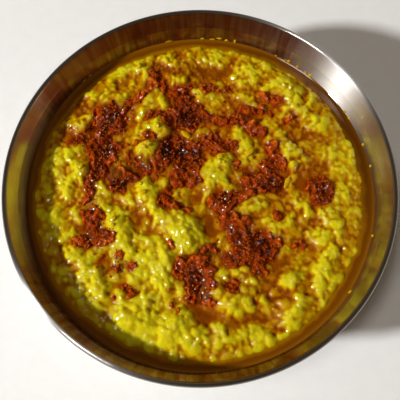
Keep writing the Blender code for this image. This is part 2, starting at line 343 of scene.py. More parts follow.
# ------------------------------ dal
# Split lentils boiled soft and stirred to a thick mash with turmeric. It was ladled in, so
# it lies in folds and slabs with lumps of lentil all over, and yellow liquor in the hollows.
CELL = 0.4                         # of the map of heights
HALF = 104.0
LUMP_LENGTH = (2.0, 4.6)           # half lengths
FOLD_LUMP_LENGTH = (1.5, 2.9)
GRAIN_LENGTH = (0.9, 1.8)
LUMP_WAY = (-60, 45)               # degrees they mostly lie at, and their spread
FOLD_HEIGHT = 0.95                 # of the heights below, as the folds stand
FOLD_FOOT = 1.25                   # where a fold's foot lies, as a squared distance
FOLD_POWER = 0.48                  # the smaller, the flatter its top and the steeper its side
FOLD_ROUNDING = 0.8
FOLD_LEAN = 0.10                   # how much higher a fold stands on the side it was laid from
LAID_WAY = (0.956, 0.292)          # the way the ladle moved as it laid them
DAL_EDGE = 96.8
EDGE_DROP = 7.0                    # how far the mash falls away under the oil
BASE_DOWN = 1.0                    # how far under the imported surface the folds' foot lies
LIQUOR_DOWN = 1.2                  # how far the liquor stands under the mean surface
LIQUOR_REACH = 95
HOLLOW_DEPTH = 1.2                 # of the depths below
DRIED_SPOT = (78, 50, 17)          # x, y, reach of mash that dried beside the sunny wall
OIL_LEVEL = food_level / MM
FOLDS = (                          # x, y, half length, half width, degrees, height
    (-49, -18.5, 8.5, 6, 0, 3.4), (-46, -26.5, 8, 5, -75, 3.2), (-33, 1.5, 6, 5, -40, 3.4),
    (-28, -6.5, 7, 3.5, -75, 3), (-22, -16.5, 7, 4, -60, 3), (-10, -22.5, 12, 9.5, -20, 3.2),
    (-6, -33.5, 9, 6, 0, 3), (-42, -35.5, 6.5, 3.4, -75, 3.2), (-56.5, -55.5, 8.5, 4, -85, 3.4),
    (-28, -32.5, 5, 4, 0, 2.6), (-21, -41.5, 8, 5, -80, 3), (-24, -51.5, 8, 5, -50, 3),
    (-37, -51.5, 5.5, 4, -30, 2.4), (-35, -42.5, 5, 4, 20, 2), (-45, -63.5, 5.5, 3.2, 80, 2.4),
    (-38, -71.5, 6, 5, -30, 2.4), (-30, -63.5, 6, 5, 50, 2.4), (-28, -74.5, 7, 5, 0, 2),
    (-14, -80.5, 9, 6.5, 80, 3), (-9, -74.5, 6, 4, 0, 2.6), (-12, -59.5, 5, 4, 60, 2.6),
    (-45, -78.5, 7, 5, -20, 1.8), (-66, -59.5, 7, 5, -20, 1.8), (-58, -66.5, 5, 4, -60, 1.6),
    (-72, -39.5, 6, 5, -60, 2.2), (-64, -46.5, 6, 5, -40, 2.2), (-78, -51.5, 7, 4.5, -20, 1.8),
    (-79, -26.5, 7, 4.5, 0, 1.8), (-86, -15.5, 5.5, 4.5, -60, 2), (-71, -13.5, 5, 3.5, -60, 2),
    (-80, 0.5, 8, 5, -80, 2.2), (-71, 10.5, 9, 4.5, -80, 2.4), (-80, 22.5, 8, 6, 70, 2),
    (-87, 14.5, 6, 4, 70, 1.8), (-73, 25.5, 5, 3.5, -50, 2.2), (-58, -1.5, 4.5, 2.6, 90, 1.8),
    (-55, -8.5, 5, 3, -40, 1.8), (-54, 2.5, 4.5, 3.5, -40, 2.4), (-42, -5.5, 6, 4, -70, 2.2),
    (-48, 14.5, 5.5, 4.5, 0, 2), (-37, -28.5, 5, 3, 10, 2), (-71, 45.5, 5, 3.5, 80, 2),
    (-78, 46.5, 6, 5, 80, 1.6), (-67, 62.5, 4.5, 4.5, 0, 2), (-60, 62.5, 6, 4, -60, 2.2),
    (-56, 69.5, 5, 3.5, 70, 2), (-46, 77.5, 8, 4.5, 70, 2.2), (-36, 82.5, 6, 5, 0, 2.2),
    (-48, 59.5, 5, 4, 80, 2.2), (-44, 65.5, 7, 2.4, 25, 1.6), (-37, 51.5, 4.5, 4, 0, 2.4),
    (-39, 36.5, 8, 4, -75, 2.4), (-31, 58.5, 6, 5, 30, 2.4), (-31, 41.5, 4.5, 3.5, 0, 2.2),
    (-24, 60.5, 6.5, 4.5, -50, 2.6), (-30, 77.5, 4, 3.5, 30, 2.4), (-13, 73.5, 6, 5, 10, 2.8),
    (-2, 62.5, 4.5, 3, -60, 2.6), (-23, 40.5, 9, 3.2, -80, 3.2), (0, 43.5, 3.5, 2.2, 30, 1.8),
    (4, 37.5, 4.5, 4.5, 0, 2), (-8, 34.5, 5.5, 2, -40, 2.6), (7, 56.5, 6, 3.5, 75, 0.9),
    (-31, 25.5, 7, 5.5, 20, 3.2), (-22, 4.5, 4, 3.4, -30, 2.6), (6, 10.5, 9, 6, 75, 3.4),
    (5, 3.5, 4.5, 4, 0, 3), (12, 7.5, 5, 4, 40, 2.6), (17, 18.5, 7, 5, 60, 3.2),
    (19, 2, 6, 3, -35, 2.4), (2, -4, 4.5, 3.5, 0, 2.2), (-12, -4.5, 5, 4, 0, 1.6),
    (27.5, -11, 5.5, 3.4, 20, 2.4), (32, -8.5, 5.5, 4, 20, 2.2), (28, 30.5, 7, 6, -40, 2.4),
    (22, 37.5, 5, 4, 0, 2), (30, 20.5, 5, 4, 60, 1.6), (38, -16.5, 4, 4, 0, 1.8),
    (43, -23.5, 6, 4, -20, 2), (46, -32.5, 6, 5, 0, 1.6), (54, 67.5, 8, 5, -70, 3.2),
    (59, 57.5, 9, 5, -70, 3.2), (41, 68.5, 5, 4, 20, 2.4), (46, 72.5, 5, 4, 0, 2),
    (35, 77.5, 7, 5, 40, 2), (28, 81.5, 6, 5, 60, 2.2), (24, 75.5, 6, 4.5, 80, 2.2),
    (27, 63.5, 6, 5, -60, 2.2), (31, 57.5, 6, 4, -30, 2.4), (70, 63.5, 4, 4, 0, 2.8),
    (68, 55.5, 5, 3.5, 80, 2.4), (66, 47.5, 6, 4.5, 50, 2.2), (73, 44.5, 6, 5, 60, 2.6),
    (44, 43.5, 7, 4, 0, 2.2), (51, 51.5, 7, 3.5, 60, 2.2), (42, 34.5, 4.5, 3.5, 0, 2.6),
    (49, 35.5, 5, 4.5, 0, 3), (54, 26.5, 8, 5, -65, 3), (54, 15.5, 5, 3.5, 80, 2),
    (61, 19.5, 6, 5, 0, 1.4), (56, -2.5, 7, 6, 0, 1.6), (52, 4.5, 7, 2, 65, 1.8),
    (62, -9.5, 7, 3.5, -75, 2), (50, -18.5, 5, 4, 0, 1.8), (69, -25.5, 6, 4.5, 30, 2.6),
    (78, -21.5, 6, 4, -60, 2.4), (74, -14.5, 5, 4, 0, 1.8), (75, 24.5, 8, 5, 0, 1.8),
    (82, 14.5, 7, 6, 60, 1.6), (84, -1.5, 8, 5, 80, 1.6), (75, -36.5, 6, 5, -30, 2.6),
    (68, -38.5, 5.5, 3, 60, 2.2), (69, -49.5, 9, 6, 75, 3), (71, -62.5, 7, 3.5, -65, 2),
    (50, -52.5, 9, 5, 15, 3.4), (54, -70.5, 9, 5, 55, 3), (62, -68.5, 3.2, 3, 0, 2.6),
    (53, -79.5, 3.6, 3, 0, 3), (37, -64.5, 5.5, 2.4, -60, 2.2), (27, -56.5, 6, 5, 60, 2.4),
    (20, -66.5, 10, 6, -20, 3), (13, -49.5, 5, 3.4, 0, 2.6), (23, -47.5, 7, 2.8, -15, 2.4),
    (12, -59.5, 5, 3.5, -30, 2.4), (29, -71.5, 4, 3.5, 30, 2.2), (24, -85.5, 8, 4.5, 0, 2.4),
    (41, -83.5, 5, 3.5, 20, 2.2), (48, -83.5, 3.5, 3.5, 0, 2.2), (12, -80.5, 6, 4.5, -60, 2.6),
    (0, -85.5, 7, 5, 0, 2.4), (79, -51.5, 5, 4, 80, 1.8), (44, 86.5, 6, 4, 0, 1.6),
    (8, 85.5, 9, 4, 0, 1.6), (-16, 86.5, 8, 4.5, 0, 2.2), (66, 30.5, 5, 4, 40, 1.6),
)
HOLLOWS = (                        # x, y, half length, half width, degrees, depth
    (-21, 25.5, 9, 4, 80, 3), (-9, 44.5, 10, 6, 0, 2.6), (38, -34.5, 8, 5, -60, 2.6),
    (44, 2.5, 8, 4, 0, 2.2), (-23, 76.5, 4, 6, 30, 2.2), (12, 78.5, 16, 6, 0, 1.4),
    (-2, -4.5, 3, 2, 80, 2.6), (5, -19.5, 8, 7, 60, 1.8), (20, -4.5, 5, 4, 0, 1.4),
    (-40, 9.5, 7, 3, 0, 1.8), (-58, 38.5, 8, 4, 90, 1.6), (-57, 12.5, 8, 4, 20, 1.8),
    (-14, -52.5, 12, 2.4, 85, 1.6), (-3, -50.5, 6, 5, 80, 1.6), (4, -74.5, 12, 4, -15, 2),
    (38, -76.5, 16, 4, 0, 1.8), (62, -41.5, 14, 4, 75, 1), (46, -43.5, 9, 3, 55, 1.8),
    (60, 6.5, 6, 9, 80, 1.4), (-45, 70.5, 8, 5, 20, 1.4), (34, 51.5, 9, 3, -20, 1.4),
    (-72, -21.5, 6, 3, -60, 1.6), (-60, 20.5, 11, 4, 80, 1.6), (-62, 40.5, 6, 4, 0, 1.2),
    (-46, 7.5, 9, 3, -10, 1.4), (-2, -50.5, 8, 5, 80, 1.4), (-57, -27.5, 6, 4, 0, 1),
    (15, 67.5, 4, 2.5, 0, 1.2), (39, -38.5, 5, 4, -60, 1), (45, 5.5, 5, 3, 0, 0.8),
    (-34, -20.5, 8, 4, -50, 1), (-53, -44.5, 6, 3, -60, 0.8), (-6, 23.5, 10, 7, 0, 1.6),
    (43, 13.5, 6, 5, 80, 1.6), (30, 36.5, 14, 3, -35, 1.4), (-44, 43.5, 5, 8, 90, 1.2),
)
# Where the mash turns oranger and darker, or yellower and lighter, partly from more or less oil in
# it and partly as painted light and shade: x, y, reach, how much oranger it turns
SOAKED_AND_PAINTED_LIGHT = (
    (50, 8, 28, 0.22), (40, -54, 24, 0.16), (20, -72, 25, 0.14), (-72, 48, 26, 0.20),
    (-18, 78, 18, 0.64), (15, 62, 24, 0.12), (58, 44, 22, 0.22), (-26, -64, 30, -0.40),
    (-52, -34, 24, -0.38), (-2, -29, 12, -0.60), (-78, -38, 15, 0.40), (-60, -74, 16, 0.20),
    (-78, 46, 14, 0.36), (61, -46, 9, -0.36), (30, -78, 12, -0.36), (78, -20, 22, 0.12),
    (-62, 62, 16, 0.26), (54, -66, 14, 0.26), (-33, -15, 8, 0.26), (-13, -9, 8, 0.26),
    (2, 34, 17, 0.25), (60, 15, 11, 0.28), (75, 54, 15, 0.26), (45, -44, 9, 0.18),
    (-60, -47, 11, -0.26), (-24, -76, 13, -0.26), (-74, -58, 9, 0.20),
)

axis = np.arange(-HALF, HALF + CELL / 2, CELL)
X, Y = np.meshgrid(axis, axis)
R = np.hypot(X, Y)


def blur(field, reach, cell=CELL):
    """The map smoothed with a bell curve of that reach in millimetres."""
    waves = np.fft.fftfreq(len(field), cell)
    fall = np.exp(-2 * (math.pi * reach) ** 2 * (waves[:, None] ** 2 + waves[None, :] ** 2))
    return np.fft.ifft2(np.fft.fft2(field) * fall).real


def cloud(draw, reach, cell=CELL, shape=X.shape):
    """Smooth unevenness with a spread of 1 and features of about that reach."""
    field = blur(draw.standard_normal(shape), reach, cell)
    return field / field.std()


def share(values):
    """Values held from 0 to 1."""
    return np.clip(values, 0, 1)


def soft_max(a, b, rounding):
    """The higher of two maps, with the line where they meet filled in."""
    near = np.clip(rounding - np.abs(a - b), 0, None)
    return np.maximum(a, b) + near * near / (4 * rounding)


def read_map(field, x, y, half=HALF, cell=CELL):
    """The map's value at places in millimetres, read between its cells."""
    u = np.clip((np.asarray(x) + half) / cell, 0, len(field) - 1.001)
    v = np.clip((np.asarray(y) + half) / cell, 0, len(field) - 1.001)
    i, j = u.astype(int), v.astype(int)
    s, t = u - i, v - j
    return ((field[j, i] * (1 - s) + field[j, i + 1] * s) * (1 - t)
            + (field[j + 1, i] * (1 - s) + field[j + 1, i + 1] * s) * t)


def spooned_base():
    """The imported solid's surface over the oil's level, without its flat facets."""
    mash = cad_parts["dal"]
    rays = BVHTree.FromPolygons([v.co for v in mash.data.vertices],
                                [p.vertices for p in mash.data.polygons])
    step = 5
    spots = axis[step // 2::step]
    coarse = np.zeros((len(spots), len(spots)))
    for row, y in enumerate(spots):
        for column, x in enumerate(spots):
            if math.hypot(x, y) < DAL_EDGE - 2:
                hit = rays.ray_cast(Vector((x * MM, y * MM, 1.0)), Vector((0, 0, -1)))[0]
                coarse[row, column] = hit.z / MM - OIL_LEVEL
    spread = np.kron(coarse, np.ones((step, step)))
    wide = np.zeros_like(X)
    wide[:spread.shape[0], :spread.shape[1]] = spread[:wide.shape[0], :wide.shape[1]]
    return blur(wide, 5.0)


def scatter(draw, spacing, reach):
    """Places about that far apart, each a little out of line, in a random order."""
    rows = np.arange(-reach, reach, spacing * 0.87)
    places = []
    for number, y in enumerate(rows):
        xs = np.arange(-reach, reach, spacing) + (number % 2) * spacing / 2
        places += [(x, y) for x in xs]
    places = np.array(places) + draw.uniform(-0.42, 0.42, (len(places), 2)) * spacing
    places = places[np.hypot(places[:, 0], places[:, 1]) < reach]
    return draw.permutation(places)


def ellipse(bent_x, bent_y, x, y, long, wide, degrees):
    """Square of the distance from an ellipse's middle, 1 on its outline."""
    turn = math.radians(degrees)
    along = ((bent_x - x) * math.cos(turn) + (bent_y - y) * math.sin(turn)) / long
    across = ((bent_y - y) * math.cos(turn) - (bent_x - x) * math.sin(turn)) / wide
    return along ** 2 + across ** 2


def spot(across, up, x, y, reach):
    """A soft round spot on a map with those coordinates, 1 at its middle."""
    return np.exp(-((across - x) ** 2 + (up - y) ** 2) / reach ** 2)


def window(x, y, reach, half=HALF, cell=CELL, count=len(axis)):
    """Rows and columns of the map within reach of a place."""
    low = np.clip(((np.array((y, x)) - reach + half) / cell).astype(int), 0, count)
    high = np.clip(((np.array((y, x)) + reach + half) / cell).astype(int) + 1, 0, count)
    return slice(low[0], high[0]), slice(low[1], high[1])


def add_lumps(draw, ground, places, lengths, tallness, sink, rounding, warp):
    """Rounded lumps pressed into the ground, tilted with it and bent by the drift maps."""
    out = ground.copy()
    under = blur(ground, 1.0)
    bent_x, bent_y = X + warp * drift_x, Y + warp * drift_y
    for x, y in places:
        long = lengths[0] * (lengths[1] / lengths[0]) ** draw.uniform(0, 1) ** 1.2
        wide = long * draw.uniform(0.62, 0.95)
        degrees = draw.normal(*LUMP_WAY)
        crown = wide * tallness * draw.uniform(0.6, 1.3)
        part = window(x, y, long + 2 * warp)
        far = ellipse(bent_x[part], bent_y[part], x, y, long, wide, degrees)
        dome = under[part] + crown * (np.sqrt(np.clip(1 - far, 0, None)) - sink)
        dome[far >= 1] = -99
        out[part] = soft_max(out[part], dome, rounding)
    return out


rng = np.random.default_rng(7)
# Drifts of two sizes bend the outlines of the lumps and, further, those of the folds
drift_x = 0.7 * cloud(rng, 2.6) + 0.5 * cloud(rng, 1.0)
drift_y = 0.7 * cloud(rng, 2.6) + 0.5 * cloud(rng, 1.0)
fold_x = X + 1.6 * cloud(rng, 5.0) + 0.7 * cloud(rng, 1.8)
fold_y = Y + 1.6 * cloud(rng, 5.0) + 0.7 * cloud(rng, 1.8)
base = spooned_base() - BASE_DOWN
folds = np.zeros_like(X)
for x, y, long, wide, degrees, height in FOLDS:
    part = window(x, y, long + 6)
    far = ellipse(fold_x[part], fold_y[part], x, y, long, wide, degrees)
    back = ((x - X[part]) * LAID_WAY[0] + (y - Y[part]) * LAID_WAY[1]) * 2 / (long + wide)
    slab = FOLD_HEIGHT * height * np.clip(1 + FOLD_LEAN * back, 0.3, None)
    slab *= share(FOLD_FOOT - far) ** FOLD_POWER
    folds[part] = soft_max(folds[part], slab, FOLD_ROUNDING)
hollow = np.zeros_like(X)
for x, y, long, wide, degrees, depth in HOLLOWS:
    hollow += HOLLOW_DEPTH * depth * np.exp(-ellipse(fold_x, fold_y, x, y, long, wide, degrees))
edge_line = DAL_EDGE - 0.3 + 0.5 * cloud(rng, 7.0) + 0.4 * cloud(rng, 2.0)
# Folds that lie close together are joined by mash as high as they are
ground = base + soft_max(blur(folds, 0.4), 0.85 * blur(folds, 3.6), 0.5) - hollow
bank = np.clip((edge_line - R) * 0.9 + 0.3, -EDGE_DROP, None)
ground = -soft_max(-ground, -bank, 1.0)
grainy = share(0.5 + 0.35 * cloud(rng, 14.0) + 0.004 * (X + Y))

ground = add_lumps(rng, ground, scatter(rng, spacing=4.5, reach=96.5), LUMP_LENGTH,
                   tallness=0.48, sink=0.20, rounding=0.12, warp=0.45)
# Whole lentils show more on the folds, which stand clear of the liquor
fold_draw = np.random.default_rng(12)
fold_places = scatter(fold_draw, spacing=4.4, reach=90.0)
fold_places = fold_places[read_map(folds, *fold_places.T) > 1.2]
ground = add_lumps(fold_draw, ground, fold_places, FOLD_LUMP_LENGTH,
                   tallness=0.62, sink=0.12, rounding=0.1, warp=0.3)
grain_places = scatter(rng, spacing=2.5, reach=DAL_EDGE)
keep = rng.random(len(grain_places)) < 0.25 + 0.6 * read_map(grainy, *grain_places.T)
ground = add_lumps(rng, ground, grain_places[keep], GRAIN_LENGTH,
                   tallness=0.6, sink=0.2, rounding=0.1, warp=0.15)
ground = blur(ground, 0.30) + 0.05 * cloud(rng, 1.1)
outer = np.clip((DAL_EDGE + 2 - R) * 1.6, -EDGE_DROP, None)
ground = -soft_max(-ground, -outer, 0.8)

liquor = blur(ground, 5.0) - LIQUOR_DOWN + 0.35 * hollow + 0.25 * cloud(rng, 9.0)
mash_top = soft_max(ground, np.where(R < LIQUOR_REACH, liquor, -99), 0.3)
# This map is 0 on the proud tops and 1 in the cracks and under liquor. Besides the liquor's orange,
# it carries painted shade, darker in the cracks and big hollows, and painted light on the folds'
# tops.
on_fold = share(blur(folds, 1.5) / 2.1)
dip = 0.38 + (0.46 + 0.40 * on_fold) * (blur(mash_top, 1.7) - mash_top) - 0.20 * on_fold
dip += 0.20 * (blur(mash_top, 7.0) - mash_top)
dip += 0.06 * cloud(rng, 4.0) + 0.30 * share((1.6 - mash_top) / 3)
dip += (0.20 + 0.06 * cloud(rng, 3.0)) * share((R - 85) / 11)
for x, y, reach, amount in SOAKED_AND_PAINTED_LIGHT:
    dip += amount * spot(X, Y, x, y, reach)
dip = share(dip)
pooled = share((liquor - ground + 0.6) / 1.6) * share((97 - R) / 2)
sunk = np.maximum(dip, pooled * pooled * (3 - 2 * pooled))
# "crest" is 1 on the tops of the lumps, where the wet skin catches the sun
crest = np.clip(0.55 + 0.9 * (mash_top - blur(mash_top, 1.8)) - 0.6 * pooled, 0.06, 1)
# Soaked mash between the lumps is duller, and so is what dried beside the sunny wall
crest *= 1 - 0.75 * share((sunk - 0.42) / 0.25)
crest *= 1 - 0.85 * spot(X, Y, *DRIED_SPOT)

# ------------------------------ tempering: where it lies
# The cook spooned it round and let it run: x, y, half length, half width, degrees, and how
# thick it lies, from 1 in the heaps down to a few crumbs in a red stain.
SPOONED = (
    (-55, 48.5, 9, 7.5, 0, 1), (-53, 55.5, 3.4, 2.6, 0, 0.8), (-50, 42, 5.5, 5, 0, 1),
    (-59, 39.5, 9, 6, 90, 0.95), (-59, 31.5, 8, 5.5, 90, 0.9), (-58, 24.5, 7, 6.5, 0, 0.95),
    (-68, 40.5, 4.5, 2.4, 10, 0.7), (-74, 32.5, 7, 3, -5, 0.8), (-64, 30.5, 4.5, 3.2, 0, 0.8),
    (-66, 24.5, 3.4, 3.2, 0, 0.8), (-49, 26.5, 7, 4, 0, 0.5), (-44, 56.5, 4.5, 3.8, 60, 0.8),
    (-40, 59.5, 4.5, 3, 20, 0.8), (-36, 62, 3.5, 2.4, 30, 0.8), (-33, 65, 3.4, 2.2, 40, 0.9),
    (-42, 48.5, 3.4, 1.8, -20, 0.45), (-29, 50.5, 6, 4, 0, 0.5), (-31, 34.5, 6.5, 3.5, 0, 0.5),
    (-37, 30.5, 2.2, 1.9, 0, 0.75), (-79, 41.5, 1.4, 1.1, 0, 0.8), (-27.5, 72.5, 7, 5, 80, 0.62),
    (-24, 68.5, 4, 4, 0, 0.6), (-21, 63, 7, 3, -20, 0.6), (-12, 62, 6, 5, 60, 0.9),
    (-8, 69.5, 7, 2.6, -5, 0.55), (4, 69, 5, 4, -20, 0.85), (16, 65.5, 5.5, 3.2, 0, 0.7),
    (-9, 55.5, 9, 4, -20, 0.95), (-8, 46.5, 11, 7.5, 0, 0.95), (-20.5, 43.5, 9, 3, -80, 0.7),
    (-17, 50.5, 4, 3, 30, 0.8), (3, 52, 6, 2.8, -50, 0.95), (8.5, 46.5, 5, 3, -45, 0.9),
    (15, 44.5, 7.5, 4, 0, 0.85), (21, 46.5, 6, 3.6, 0, 0.7), (16, 56.5, 6, 3.4, 0, 0.35),
    (8, 32.5, 6.5, 5, 0, 0.6), (12, 28.5, 6.5, 4, 0, 0.9), (19, 30.5, 5, 4, 0, 0.7),
    (-8, 25.5, 11, 7.5, 0, 0.95), (-21, 25.5, 8, 4.5, 80, 0.9), (-16, 34.5, 6, 3, 30, 0.5),
    (-5, 39.5, 8, 2.6, 5, 0.4), (44, 60.5, 7, 4, -15, 0.85), (29, 51.5, 5.5, 4, 0, 0.85),
    (35.5, 50.5, 6.5, 3, -10, 0.6), (42, 49.5, 5, 2.2, -10, 0.35), (25, 43.5, 6, 4, -20, 0.85),
    (32, 39.5, 7, 3, -40, 0.85), (36.5, 35.5, 3, 2.4, -50, 0.8), (55, 45.5, 5.5, 2.6, -5, 0.5),
    (45, 28.5, 5.5, 4.4, 80, 0.9), (48, 19, 6.5, 3, -65, 0.95), (42, 15.5, 6.5, 4, 0, 0.7),
    (26, 66.5, 1.6, 1.3, 0, 0.5), (22, 30, 3.2, 3, 0, 0.7), (65, 33.5, 3.4, 1.6, 90, 0.4),
    (65, 24.5, 2.6, 1.4, 90, 0.55), (76, 58.5, 1.2, 1, 0, 0.5), (-60, 19.5, 9.5, 7, 90, 0.98),
    (-56, 11.5, 8, 3.4, 0, 0.98), (-65, 7, 6, 4, 90, 0.85), (-65, 0.5, 6, 3.8, 90, 0.85),
    (-66, -4.7, 4.2, 2.6, 0, 0.85), (-45, 9.5, 9.5, 3.2, -10, 0.98), (-48, 2.5, 5.5, 4.4, -20, 0.9),
    (-43.5, -2.5, 3.4, 2, -45, 0.6), (-39, 20, 7.5, 4, -5, 0.5), (-33, 15.5, 6, 4.6, 0, 0.42),
    (-62, -15.5, 7.5, 4.6, -10, 0.85), (-61, -23, 6, 3.8, -40, 0.85), (-61, -8.5, 2.6, 1.7, 0, 0.6),
    (-67, -30.5, 5.2, 4.4, 0, 0.9), (-57, -29.5, 7.5, 5, 0, 0.9), (-27, 16.5, 6, 4.6, 0, 0.42),
    (-25, 10, 5, 2.2, 0, 0.5), (-9, 16.5, 6, 5, 0, 0.7), (-12, 11.5, 5, 3.4, 0, 0.55),
    (-5, 7.5, 6.5, 6, 0, 0.88), (-14, 5, 6.5, 3.4, 0, 0.85), (-3, 14.5, 8, 2.4, 80, 0.9),
    (-21, -5.5, 6.5, 5, -20, 0.9), (-14, -9, 6, 3, -30, 0.85), (-9, -13, 3.4, 2.6, 0, 0.6),
    (-18.5, -17.5, 4.6, 1.9, 15, 0.7), (-5, -8.5, 2.4, 1.6, 0, 0.35), (9, -7, 7, 4, 90, 0.85),
    (15.5, -4.5, 6.5, 5, 0, 0.95), (18, -11, 5, 4.5, 0, 0.95), (17, -18.5, 8, 3.2, -65, 0.95),
    (21.5, 15, 3.8, 3.2, 0, 0.8), (11, 10.9, 1.8, 1.2, 0, 0.6), (7, 8.1, 1.6, 1, 0, 0.5),
    (16.5, 20.5, 1.4, 1.2, 0, 0.5), (15, 23.5, 2.2, 1, 20, 0.5), (33, 6.5, 7.5, 5, 20, 0.9),
    (43, 7, 6.5, 5, 0, 0.95), (44, 2.5, 6.5, 3, 0, 0.95), (27.5, -3.9, 7, 3.2, 10, 0.8),
    (35, -0.5, 3.2, 1.8, 20, 0.7), (26, -18.5, 6, 4.6, -20, 0.9), (23.5, -26.5, 6, 4.4, 0, 0.9),
    (36.5, -27.5, 4.6, 3, -10, 0.85), (45, -14.5, 4.6, 4, 0, 0.8), (71.5, 2, 9.4, 7, 10, 0.95),
    (71.5, -6, 6.2, 4.4, 0, 0.9), (67, 14.5, 5, 2.4, 80, 0.4), (61, 13.5, 1.2, 1, 0, 0.5),
    (57.5, -30.5, 5.6, 4, -10, 0.38), (28, 12, 2.6, 2, 0, 0.55), (37, 15.5, 3, 2, 80, 0.6),
    (-48, -38.5, 5, 3.2, 20, 0.5), (-56, -43.5, 4.4, 2.8, 70, 0.6),
    (-48.5, -46.5, 4.4, 1.9, 80, 0.5), (-44.5, -42.5, 4, 1.6, 100, 0.4), (-38, -45, 3, 2.4, 0, 0.8),
    (-42.5, -56, 4, 2.2, 0, 0.8), (-39.5, -59.5, 2.4, 2, 60, 0.7), (-49, -62.5, 1.7, 1.3, 0, 0.6),
    (-51, -52.5, 1.3, 1.1, 0, 0.4), (-18.5, -30.5, 4.4, 2, -30, 0.75),
    (-15, -34.5, 2.6, 1.5, 80, 0.7), (-8.5, -46.5, 6.5, 4.8, 80, 0.9), (-4, -49.5, 9, 6, 85, 0.98),
    (-6.5, -57.5, 5.5, 3.8, 80, 0.85), (0.5, -40.5, 5, 4, 40, 0.85), (6, -34.5, 6.5, 4, 35, 0.9),
    (4.5, -48.5, 6.5, 3, -55, 0.85), (7, -53.5, 4.5, 3.2, 80, 0.85), (4, -58.5, 3.4, 2, 10, 0.6),
    (-2, -63, 4.6, 3.4, -40, 0.9), (5, -64.5, 7.5, 2.8, -8, 0.75), (11, -38, 5, 2.4, -45, 0.6),
    (18.5, -41.5, 7, 4.4, 0, 0.88), (19, -56.5, 6.5, 4, -20, 0.75),
    (15.5, -66.5, 2.2, 1.5, 80, 0.55), (-19, -58.5, 2, 1.2, 80, 0.65),
    (-19, -67.5, 2.8, 1.4, 80, 0.8), (-12.5, -71, 3, 1.2, 5, 0.55), (-14, -52, 1.2, 1, 0, 0.4),
    (25, -35.5, 7.5, 6.5, 80, 0.9), (33.5, -44.5, 7, 4.6, -50, 0.9), (36, -34.5, 8, 5, -70, 0.98),
    (41, -39.5, 4.6, 3.4, -30, 0.95), (36.5, -49.5, 3.4, 2.2, -40, 0.8), (44, -33, 4.6, 7, 0, 0.9),
    (68, -41, 1.5, 1, 90, 0.8), (-33, 24.5, 3, 1.4, 20, 0.35), (-24, 22.5, 3, 3, 0, 0.7),
    (30, 45.5, 5, 2, -30, 0.35), (84, 44.5, 3, 2, 0, 0.3), (-36, 10.5, 4, 3, 0, 0.45),
    (-30, 64.5, 4, 2.6, 60, 0.5), (0, 28.5, 4, 5, 0, 0.8),
)
SPOON_FOOT = 1.35                  # where a spoonful ends, as a squared distance
SPOON_POWER = 0.8
SPOON_ROUNDING = 0.15
FOLD_CLEAR = (1.0, 1.3)            # the fold's height from which it sheds them, and over how much
draw = np.random.default_rng(21)
# Drifts of two sizes bend the outlines of the spoonfuls
run_x = X + 1.1 * cloud(draw, 2.6) + 0.6 * cloud(draw, 1.0)
run_y = Y + 1.1 * cloud(draw, 2.6) + 0.6 * cloud(draw, 1.0)
cover = np.zeros_like(X)
for x, y, long, wide, degrees, thick in SPOONED:
    part = window(x, y, long + 5)
    far = ellipse(run_x[part], run_y[part], x, y, long, wide, degrees)
    heap = thick * share(SPOON_FOOT - far) ** SPOON_POWER
    cover[part] = soft_max(cover[part], heap, SPOON_ROUNDING)
cover = blur(cover, 0.6)
soaked = share(cover)
# Ragged at its edges, and little of it stays on the tall folds
ragged = (0.26 * cloud(draw, 0.9) + 0.12 * cloud(draw, 3.0)) * share(3 * cover)
bare = share((blur(folds, 0.8) - FOLD_CLEAR[0]) / FOLD_CLEAR[1])
cover = share((cover + ragged) * (1 - 0.95 * bare))
stain = (blur(soaked, 1.6) + 0.60 * blur(soaked, 5.0)) * (1 - 0.4 * bare)
stain = share(stain + 0.3 * blur(cover, 0.8) + 0.05 * cloud(draw, 2.0) - 0.08)


# ------------------------------ dal: the body of mash
# One piece down to the bowl's floor. Its top is a net of small triangles set to the map.
def net_of_triangles(reach, rings):
    """Points (x, y) of a round net with six more points in each ring, and its faces."""
    points = [np.zeros((1, 2))]
    faces = []
    inner = 0
    for ring in range(1, rings + 1):
        angle = np.arange(6 * ring) * math.tau / (6 * ring)
        points.append(reach * ring / rings * np.stack((np.cos(angle), np.sin(angle)), 1))
        outer = inner + max(1, 6 * (ring - 1))
        side, step = np.divmod(np.arange(6 * ring), ring)
        within = max(1, 6 * (ring - 1))
        a = outer + np.arange(6 * ring)
        b = outer + (np.arange(6 * ring) + 1) % (6 * ring)
        c = inner + (side * (ring - 1) + step) % within
        faces.append(np.stack((a, b, c), 1))
        d = inner + (side * (ring - 1) + step + 1) % within
        faces.append(np.stack((b, d, c), 1)[step < ring - 1])
        inner = outer
    return np.concatenate(points), np.concatenate(faces)


